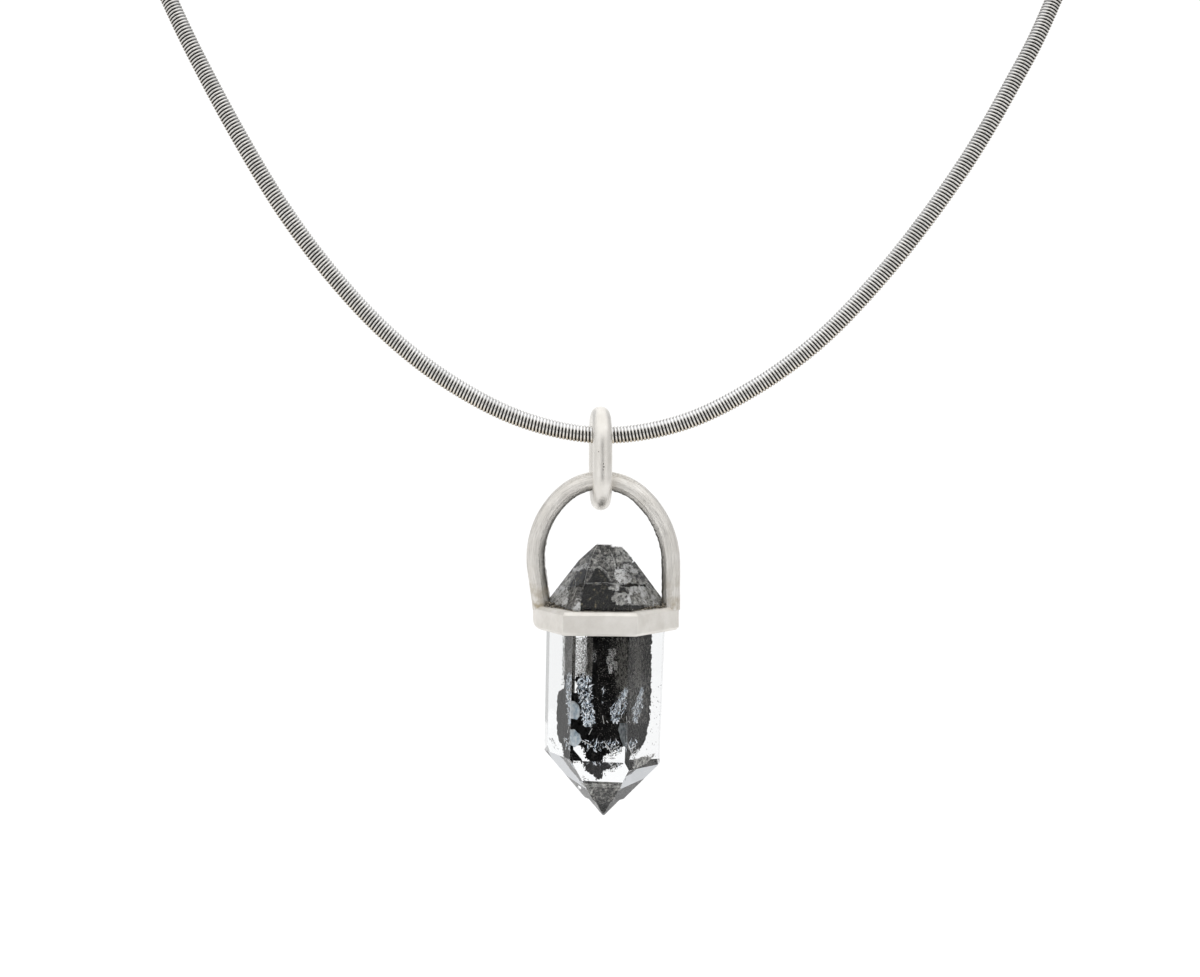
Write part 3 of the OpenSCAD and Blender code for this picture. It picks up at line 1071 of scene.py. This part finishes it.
def ragged_grid(shape, seed, table, cell, ragged, put, keep):
    """Adds a grid that is cut to a table's outline, with holes and crumbs along its edge."""
    top, low = table[0][0] + SPARE_TOP, table[-1][0] - SPARE_LOW
    left_most = min(row[1] for row in table) - SPARE_SIDE
    right_most = max(row[2] for row in table) + SPARE_SIDE
    wide, high = right_most - left_most, top - low
    columns, rows = round(wide / cell), round(high / cell)
    spots = bmesh.ops.create_grid(shape, x_segments=columns, y_segments=rows, size=0.5)["verts"]
    rng = random.Random(seed)
    for spot in spots:
        x = left_most + (spot.co.x + 0.5) * wide + rng.uniform(-STRAY, STRAY) * cell
        z = low + (spot.co.y + 0.5) * high + rng.uniform(-STRAY, STRAY) * cell
        spot.co = (x, 0, z)
    gone = []
    for face in dict.fromkeys(f for spot in spots for f in spot.link_faces):
        x, _, z = face.calc_center_median()
        left, right = follow(table, z)
        inside = min(x - left, right - x, z - table[-1][0], table[0][0] - z)
        fray = ragged * (1 + 0.7 * max(0, min(1, FRAYED_BELOW - z)))
        crumble = fray * noise.fractal(Vector((x * 2.2, z * 1.6, seed)), 0.7, 2.2, 6)
        if inside + crumble < 0 or not keep(x, z):
            gone.append(face)
    bmesh.ops.delete(shape, geom=gone, context="FACES")
    for spot in spots:
        if spot.is_valid:
            spot.co = put(spot.co.x, spot.co.z)


def finish_sheet(name, shape, thickness, material):
    face_outward(shape)
    bmesh.ops.solidify(shape, geom=shape.faces[:], thickness=thickness)
    finish_inside(name, shape, material)


def hanging_sheet(name, seed, table, depth_at, ragged):
    """A sheet of carbon that hangs upright in the crystal."""
    def put(x, z):
        broad = noise.noise(Vector((x, z * 0.6, seed)))
        fine = noise.noise(Vector((x * 4, z * 3, seed)))
        relief = 0.3 * broad + 0.08 * fine
        return Vector((x, depth_at(x) + relief, z))

    def keep(x, z):
        return room(put(x, z)) > CARBON_ROOM

    shape = bmesh.new()
    ragged_grid(shape, seed, table, CARBON_CELL, ragged, put, keep)
    finish_sheet(name, shape, CARBON_THICK, carbon)


hanging_sheet("carbon_curtain", 4, CURTAIN, lambda x: 0.9 + 0.17 * (x + 1), 0.22)
hanging_sheet("carbon_backing", 8, BACKING, lambda x: -1.0, 0.25)

# %% [markdown]
# Smooth cracks in the quartz mirror the light like little panes, pale blue or
# smoky. Each pane is an outline as it is seen, and its two ends lie at different
# depths. Those at a corner of the crystal slant along the sight through the next
# face, so that they show only once.

# %% Panes
pane, nodes = new_material("crack_pane")
place = nodes.place()
shade = nodes.mottle(place, 0.7, [
    (0.36, (0.42, 0.53, 0.62)), (0.48, (0.74, 0.83, 0.89)), (0.6, (0.93, 0.97, 1.0)),
], 5)
relief = nodes.bump(nodes.noise(place, 0.4, 4), 0.5, 0.03)
surface(nodes, base_color=shade, metallic=0.7, roughness=0.3, normal=relief)
dim_pane = mottled(
    "dim_pane", 0.35, [(0.35, (0.1, 0.115, 0.125)), (0.65, (0.36, 0.38, 0.39))], 6,
    roughness=0.6, specular_ior_level=0.2,
)

PANE_THICK, PANE_BULGE, PANE_RIPPLE = 0.03, 0.04, 0.06
# material, depth at the left and the right end, outline as it is seen
PANES = [
    (pane, 0.25, 1.5, [
        (-3.1, -8.1), (-2.7, -8.15), (-2.35, -8.55), (-2.2, -9.0), (-2.25, -9.7),
        (-2.5, -10.0), (-3.1, -9.85),
    ]),
    (pane, 0.25, 1.7, [
        (-3.1, -10.95), (-2.75, -10.95), (-2.2, -11.5), (-2.0, -12.1), (-2.3, -12.5),
        (-2.7, -12.75), (-3.1, -12.5),
    ]),
    (dim_pane, 1.8, 0.25, [
        (1.75, -10.35), (2.45, -10.3), (2.45, -12.7), (2.1, -12.6), (1.8, -11.8), (1.6, -11.0),
    ]),
]


def panes(name, material):
    """All panes of one material in one piece."""
    shape = bmesh.new()
    for made_of, left_depth, right_depth, outline in PANES:
        if made_of is not material:
            continue
        first, last = min(x for x, _ in outline), max(x for x, _ in outline)
        middle = sum(z for _, z in outline) / len(outline)
        face = window((first + last) / 2, middle)
        spots = []
        for x, z in outline:
            depth = left_depth + (right_depth - left_depth) * (x - first) / (last - first)
            spots.append(shape.verts.new(seen_at(x, z, depth, face)))
        made = bmesh.ops.poke(shape, faces=[shape.faces.new(spots)])
        made["verts"][0].co.y -= PANE_BULGE
    face_outward(shape)
    bmesh.ops.subdivide_edges(shape, edges=shape.edges[:], cuts=3, use_grid_fill=True)
    for spot in shape.verts:
        spot.co += PANE_RIPPLE * noise.noise_vector(spot.co * 2.5)
    bmesh.ops.solidify(shape, geom=shape.faces[:], thickness=PANE_THICK)
    finish_inside(name, shape, material, smooth=True)


# a vector of noise starts from the clock unless it has a seed
noise.seed_set(5)
panes("crack_panes", pane)
panes("dim_panes", dim_pane)

# %% [markdown]
# The upper point is full of veils just under its faces, some black, some smoky
# and some nearly white, and the lower tip has a few. Each one is a mottled sheet
# that follows one face of the crystal, so every face shows a picture of its own.

# %% Veils
VEIL_CELL, VEIL_ROOM, VEIL_THICK = 0.09, 0.08, 0.02


def veil(name, shine, stops):
    return mottled(
        name, 0.45, stops, 9, 0.75, metallic=shine, roughness=0.5, specular_ior_level=0.2,
    )


black_veil = veil("black_veil", 0.0, [
    (0.46, 0.002), (0.55, (0.01, 0.01, 0.009)), (0.6, (0.12, 0.105, 0.07)),
    (0.66, (0.6, 0.5, 0.3)),
])
smoke_veil = veil("smoke_veil", 0.0, [
    (0.38, 0.012), (0.45, 0.1), (0.53, (0.26, 0.25, 0.235)), (0.61, (0.75, 0.73, 0.68)),
])
cloud_veil = veil("cloud_veil", 0.15, [
    (0.38, 0.02), (0.44, (0.22, 0.216, 0.205)), (0.52, (0.52, 0.51, 0.485)),
    (0.61, (0.95, 0.94, 0.9)),
])
white_veil = veil("white_veil", 0.55, [
    (0.38, (0.06, 0.058, 0.055)), (0.44, (0.4, 0.39, 0.37)), (0.5, (0.8, 0.79, 0.78)),
    (0.58, 0.97),
])

# material, depth, raggedness and rows of height, left edge and right edge, as they are seen
VEILS = [
    (smoke_veil, 0.7, 0.2, [
        (7.5, -1.2, 1.5), (6.2, -1.6, 1.8), (4.8, -1.4, 1.6), (3.4, -1.7, 1.4),
    ]),
    (smoke_veil, 0.8, 0.1, [
        (6.9, -2.0, -0.8), (5.2, -3.3, -1.1), (3.0, -5.3, -1.9), (0.8, -6.4, -2.3),
    ]),
    (cloud_veil, 0.5, 0.03, [(6.2, -0.65, -0.5), (5.4, -0.95, -0.35), (4.75, -1.25, 0.05)]),
    (black_veil, 0.45, 0.04, [(5.0, -0.65, -0.3), (4.3, -1.0, 0.4), (3.5, -1.5, 0.95)]),
    (cloud_veil, 0.4, 0.15, [(6.2, 0.2, 1.2), (5.4, 0.1, 1.4), (5.0, 0.5, 1.3)]),
    (white_veil, 0.4, 0.05, [
        (5.55, -1.4, -1.1), (5.2, -2.3, -1.2), (4.9, -2.9, -1.9), (4.6, -3.1, -2.7),
    ]),
    (black_veil, 0.45, 0.06, [(4.85, -2.0, -1.6), (4.0, -2.8, -1.75), (3.2, -3.3, -2.0)]),
    (cloud_veil, 0.5, 0.08, [(4.6, -2.9, -2.7), (4.0, -4.0, -2.9), (3.15, -4.9, -3.4)]),
    (white_veil, 0.35, 0.05, [(3.2, -4.9, -3.5), (2.2, -5.5, -3.3), (1.4, -6.0, -3.5)]),
    (white_veil, 0.3, 0.06, [(2.1, -2.5, -2.25), (1.5, -2.75, -2.1), (0.8, -2.9, -2.2)]),
    (black_veil, 0.8, 0.45, [
        (3.55, -1.7, 0.9), (3.0, -1.8, 1.3), (2.6, -2.2, 1.0), (2.0, -2.1, 1.5), (1.5, -2.3, 1.1),
        (1.1, -2.2, 2.2), (0.7, -2.3, 2.5),
    ]),
    (cloud_veil, 0.45, 0.1, [(7.2, 1.3, 2.0), (5.6, 1.5, 3.2)]),
    (white_veil, 0.4, 0.08, [
        (5.45, 2.1, 2.6), (5.1, 2.0, 3.2), (4.75, 2.5, 3.7), (4.5, 3.2, 3.8),
    ]),
    (smoke_veil, 0.6, 0.15, [(5.7, 1.6, 3.0), (4.6, 1.6, 4.2), (3.2, 2.8, 5.4)]),
    (white_veil, 0.35, 0.15, [(4.9, 1.4, 2.2), (4.2, 1.2, 2.9), (3.6, 1.6, 3.0)]),
    (black_veil, 0.4, 0.04, [(3.5, 1.7, 2.8), (3.3, 1.9, 4.5), (3.15, 3.2, 4.4)]),
    (white_veil, 0.35, 0.05, [(3.25, 2.9, 4.2), (2.9, 2.6, 4.3), (2.4, 2.8, 3.4)]),
    (black_veil, 0.4, 0.2, [(3.2, 1.75, 2.2), (2.7, 1.6, 2.4)]),
    (white_veil, 0.35, 0.06, [(3.45, 1.25, 1.7), (2.8, 1.3, 1.7)]),
    (cloud_veil, 0.6, 0.3, [
        (3.6, 1.1, 5.6), (3.1, 0.7, 5.8), (2.7, 1.3, 6.0), (2.2, 0.8, 6.1), (1.7, 1.2, 6.3),
        (0.8, 1.3, 6.6),
    ]),
    (white_veil, 0.35, 0.15, [(2.5, 2.2, 2.7), (1.5, 2.2, 2.9)]),
    (white_veil, 0.35, 0.15, [(2.7, 3.9, 4.5), (1.4, 4.0, 4.7)]),
    (white_veil, 0.35, 0.15, [(2.3, 4.9, 5.3), (1.2, 5.0, 5.7)]),
    (black_veil, 0.4, 0.15, [(1.45, 1.2, 2.6), (1.2, 1.2, 4.9), (0.7, 1.2, 5.0)]),
    (cloud_veil, 0.3, 0.06, [(-16.55, -2.2, 2.0), (-16.95, -1.9, 1.7)]),
    (cloud_veil, 0.3, 0.1, [(-17.2, -1.5, -0.9), (-17.55, -1.3, -1.0)]),
    (smoke_veil, 0.4, 0.4, [
        (-17.1, -0.8, 1.5), (-17.6, -1.2, 1.2), (-18.3, -0.9, 0.8), (-18.9, -0.4, 0.3),
    ]),
    (cloud_veil, 0.3, 0.1, [
        (-13.85, 4.4, 5.2), (-14.0, 3.2, 5.2), (-14.5, 3.1, 4.6), (-14.9, 3.1, 3.7),
    ]),
]


def veils(name, material, seed):
    """All veils of one material in one piece, each under every face it crosses."""
    shape = bmesh.new()
    for number, (made_of, depth, ragged, table) in enumerate(VEILS):
        if made_of is not material:
            continue
        for face in FACING:
            def put(x, z):
                wave = 0.08 * noise.noise(Vector((x * 1.5, z * 1.5, seed + number)))
                return seen_at(x, z, depth + wave, face)

            def keep(x, z):
                return window(x, z) is face and room(put(x, z)) > VEIL_ROOM

            ragged_grid(shape, seed + number, table, VEIL_CELL, ragged, put, keep)
    finish_sheet(name, shape, VEIL_THICK, material)


veils("black_veils", black_veil, 41)
veils("smoke_veils", smoke_veil, 43)
veils("cloud_veils", cloud_veil, 47)
veils("white_veils", white_veil, 53)

# %% [markdown]
# Crumbs, haze and crackle are clouds of small three-sided grains. A patch gives
# where they are seen and how deep they lie, and a seed fixes each grain, so the
# cloud is the same at every run. Long flat grains of bright crackle mirror the
# light one by one, like the splintered cracks they stand for.

# %% Grains
crackle = mottled(
    "crackle", 0.3, [(0.35, (0.62, 0.74, 0.86)), (0.6, (0.98, 0.99, 1.0))],
    metallic=0.85, roughness=0.15,
)
haze = mottled(
    "brown_haze", 0.15, [(0.38, (0.06, 0.057, 0.05)), (0.6, (0.42, 0.405, 0.375))],
    roughness=0.7, specular_ior_level=0.2,
)
pale = mottled(
    "pale_dust", 0.35,
    [(0.38, (0.3, 0.29, 0.27)), (0.47, (0.8, 0.79, 0.77)), (0.58, (0.98, 0.98, 0.97))], 8, 0.7,
    roughness=0.5, specular_ior_level=0.3,
)

# kind: size, length, flatness and wildness of the turn
CRUMB = (0.1, 1.3, 0.5, 1.2)
DUST = (0.06, 1.2, 0.6, 1.2)
BRISTLE = (0.05, 4.5, 0.5, 0.12)
SPLINTER = (0.15, 2.4, 0.12, 0.6)


def pattern_of(shape):
    """The points and faces of a small shape, to be repeated many times."""
    shape.verts.index_update()
    pattern = [v.co.copy() for v in shape.verts], [[v.index for v in f.verts] for f in shape.faces]
    shape.free()
    return pattern


def repeat(shape, pattern, place):
    """Adds one more copy of a pattern at a place."""
    points, faces = pattern
    spots = [shape.verts.new(place @ point) for point in points]
    for face in faces:
        shape.faces.new([spots[k] for k in face])


cone = bmesh.new()
bmesh.ops.create_cone(cone, cap_ends=True, segments=3, radius1=0.6, radius2=0, depth=2)
face_outward(cone)
GRAIN = pattern_of(cone)


def grains(name, material, kind, patches, seed):
    """A cloud of grains from patches of (count, thinning, depths, table)."""
    size, long, flat, wild = kind
    rng = random.Random(seed)
    shape = bmesh.new()
    for count, thin, (near, far), table in patches:
        for _ in range(count):
            height = rng.uniform(table[-1][0], table[0][0])
            left, right = follow(table, height)
            x = right - (right - left) * rng.random() ** thin
            spot = seen_at(x, height, rng.uniform(near, far))
            big = size * rng.uniform(0.3, 1) ** 1.4
            turn = [rng.gauss(0, wild) for _ in range(3)]
            if room(spot) < 0.1 + big:
                continue
            stretch = Matrix.Diagonal((big, big * flat * 2, big * long, 1))
            repeat(shape, GRAIN, moved(*spot) @ Euler(turn).to_matrix().to_4x4() @ stretch)
    finish_inside(name, shape, material)


LEFT_HAZE = [(-1.9, -2.95, -0.9), (-5.8, -2.9, -1.0)]
grains("carbon_crumbs", carbon, CRUMB, [
    (420, 0.8, (5.8, 6.2), [(-1.9, -2.0, -0.8), (-7.0, -2.1, -0.9)]),
    (420, 1.0, (5.6, 6.0), [(-11.8, -2.2, 2.2), (-13.2, -2.0, 2.2), (-14.4, -1.6, 1.2)]),
    (260, 1.0, (3.9, 4.3), [(-5.6, -2.6, -0.8), (-10.5, -2.3, -0.5)]),
    (200, 1.0, (0.2, 0.35), [(7.2, -1.0, 1.3), (4.4, -2.0, 2.6), (1.1, -2.0, 4.6)]),
    (120, 1.0, (0.2, 0.35), [(5.4, -2.2, -1.2), (3.2, -4.4, -1.6), (1.2, -5.4, -2.4)]),
    (60, 1.0, (0.3, 1.0), [(-6.8, 5.1, 5.9), (-14.0, 4.2, 5.8)]),
    (40, 1.0, (0.3, 0.8), [(-13.9, -3.3, -2.6), (-14.3, -3.2, -2.2)]),
    (30, 1.0, (0.3, 0.8), [(-15.7, -2.1, -1.6), (-16.4, -1.7, -1.2)]),
    (60, 1.0, (0.3, 0.6), [(-12.2, -5.3, -4.9), (-13.2, -4.8, -4.3)]),
], 11)
grains("brown_haze", haze, DUST, [
    (4600, 1.15, (3.4, 4.2), LEFT_HAZE),
    (220, 1.0, (0.25, 0.6), [(-1.8, -3.08, -2.72), (-7.3, -3.08, -2.74)]),
    (900, 1.0, (5.2, 5.9), [(-1.9, -0.6, 2.5), (-7.5, -0.4, 2.5)]),
    (1100, 0.6, (4.8, 5.8), [(-1.9, 0.8, 2.5), (-7.0, 1.4, 2.5)]),
    (300, 1.0, (5.2, 5.8), [(-7.5, -0.8, 1.6), (-12.5, -0.6, 2.0)]),
], 12)
grains("brown_streaks", haze, BRISTLE, [
    (1500, 1.0, (1.0, 3.2), [(-1.9, 2.7, 4.85), (-6.0, 2.7, 4.85), (-10.5, 2.7, 4.5)]),
    (300, 1.0, (4.6, 5.6), [(-1.9, 1.4, 2.5), (-6.8, 1.6, 2.5)]),
], 15)
grains("pale_cloud", pale, DUST, [
    (620, 1.0, (1.3, 1.9), [
        (-2.95, 0.6, 1.4), (-3.4, 0.75, 1.45), (-3.7, 0.5, 1.2), (-4.2, 0.45, 1.15),
        (-5.4, 0.75, 0.95),
    ]),
    (90, 1.0, (1.3, 1.9), [(-4.2, 1.1, 1.5), (-5.0, 1.2, 1.5)]),
    (130, 1.0, (5.2, 5.6), [(-3.2, -1.1, -0.5), (-4.4, -1.1, -0.6)]),
], 16)
grains("crackle", crackle, SPLINTER, [
    (430, 1.0, (3.2, 3.8), [
        (-5.6, -2.3, -1.2), (-6.0, -2.45, -1.05), (-8.1, -2.4, -0.95), (-8.9, -2.1, -0.85),
        (-9.6, -2.0, -0.7), (-10.7, -1.8, -0.75),
    ]),
    (300, 1.0, (5.3, 5.9), [
        (-7.0, 2.3, 2.5), (-8.0, 1.7, 2.5), (-9.0, 0.9, 2.5), (-10.0, 0.8, 1.9),
        (-10.4, 1.0, 1.5),
    ]),
    (90, 1.0, (5.1, 5.6), [(-12.2, -2.0, 1.8), (-13.4, -1.4, 1.9)]),
], 13)

# %% [markdown]
# A few bright scratches run across the lower end of the carbon, and finer ones
# across the veils of the upper point. Three short ones in the middle of the
# carbon are painted glints. Each one is a line of points as it is seen, with a
# thin rod from point to point.

# %% Scratches and painted glints
# radius, depth and points as they are seen
SCRATCHES_AND_GLINTS = [
    (0.05, 5.0, [(-2.0, -12.3), (-1.6, -12.5), (-1.0, -12.85)]),
    (0.045, 5.0, [(0.4, -12.7), (0.62, -12.95), (0.8, -13.3), (1.0, -13.6)]),
    (0.05, 5.0, [(1.0, -13.4), (1.2, -13.1), (1.4, -13.0), (1.7, -12.85)]),
    (0.05, 5.0, [(0.9, -13.8), (1.4, -13.5), (2.0, -13.3)]),
    # painted glints: three short white rods where light glints off the carbon
    (0.03, 5.0, [(0.05, -9.8), (0.2, -10.6)]),
    (0.035, 5.0, [(0.45, -10.3), (0.6, -10.48)]),
    (0.035, 5.0, [(-1.0, -11.1), (-1.3, -11.7)]),
    (0.03, 5.0, [(0.2, -12.4), (0.5, -12.9), (0.55, -13.2)]),
    (0.018, 0.2, [(-0.5, 7.3), (-1.15, 6.0), (-1.45, 4.9), (-1.75, 3.6)]),
    (0.02, 0.2, [(-1.6, 3.55), (0.4, 3.62), (1.2, 3.5), (2.1, 3.45)]),
    (0.03, 0.2, [(0.7, 6.9), (1.1, 6.1), (1.3, 5.2)]),
    (0.022, 0.2, [(-0.9, 4.9), (-0.2, 5.2), (0.5, 4.6), (0.9, 3.8)]),
    (0.022, 0.2, [(0.1, 5.9), (0.6, 5.5), (0.8, 5.0)]),
    (0.02, 0.2, [(2.5, 4.6), (3.2, 4.0), (4.1, 3.3)]),
    (0.025, 0.2, [(2.35, 5.2), (2.9, 4.8), (3.4, 4.4)]),
    (0.02, 0.2, [(3.2, 2.5), (4.0, 2.75), (4.6, 2.4)]),
    (0.02, 0.2, [(-2.9, 4.4), (-2.6, 3.6), (-2.75, 2.9)]),
]


def scratches():
    shape = bmesh.new()
    for radius, depth, line in SCRATCHES_AND_GLINTS:
        spots = [seen_at(x, height, depth) for x, height in line]
        for a, b in zip(spots, spots[1:]):
            turn = (b - a).to_track_quat("Z", "Y").to_matrix().to_4x4()
            bmesh.ops.create_cone(
                shape, cap_ends=True, segments=6, radius1=radius, radius2=radius,
                depth=(b - a).length + radius, matrix=moved(*(a + b) / 2) @ turn,
            )
    finish_inside("bright_scratches", shape, pale)


scratches()

# %% [markdown]
# A line of old dirt and solder crust fills the corner between the crystal and
# the collar, thickest near the feet of the arch. It is one more cloud, of round
# lumps strewn along the crystal's own outline at the collar's upper edge.

# %% Crust
crust = mottled(
    "crust", 0.3,
    [(0.38, (0.015, 0.014, 0.012)), (0.5, (0.12, 0.105, 0.08)), (0.62, (0.42, 0.38, 0.31))],
    roughness=0.8,
)


def outline_at(height, angle, planes):
    """The crystal's own radius at a height over the collar's middle."""
    start = Vector((0, 0, height))
    way = Vector((math.cos(angle), math.sin(angle), 0))
    reaches = [
        (point - start).dot(outward) / outward.dot(way)
        for point, outward in planes if outward.dot(way) > 1e-6
    ]
    return start + way * min(reaches), way


ball = bmesh.new()
bmesh.ops.create_icosphere(ball, subdivisions=1, radius=1)
LUMP = pattern_of(ball)


def crust_ring(count, seed):
    rng = random.Random(seed)
    planes = crystal_planes()
    shape = bmesh.new()
    for _ in range(count):
        angle = rng.uniform(0, math.tau)
        near_foot = abs(math.cos(angle)) ** 6
        rim, way = outline_at(COLLAR_H / 2, angle, planes)
        big = rng.uniform(0.04, 0.11) * (1 + 0.6 * near_foot)
        out = rng.uniform(-0.03, 0.06 + 0.8 * near_foot) + big * 0.3
        up = rng.uniform(-0.16, 0.0 + 0.6 * near_foot * rng.random())
        turn = Euler([rng.uniform(0, 6) for _ in range(3)]).to_matrix().to_4x4()
        spot = rim + way * out + Vector((0, 0, up))
        repeat(shape, LUMP, moved(*spot) @ turn @ Matrix.Scale(big, 4))
    finish_piece("seat_crust", shape, AT_PENDANT, crust, "pendant", smooth=False)


crust_ring(1500, 31)
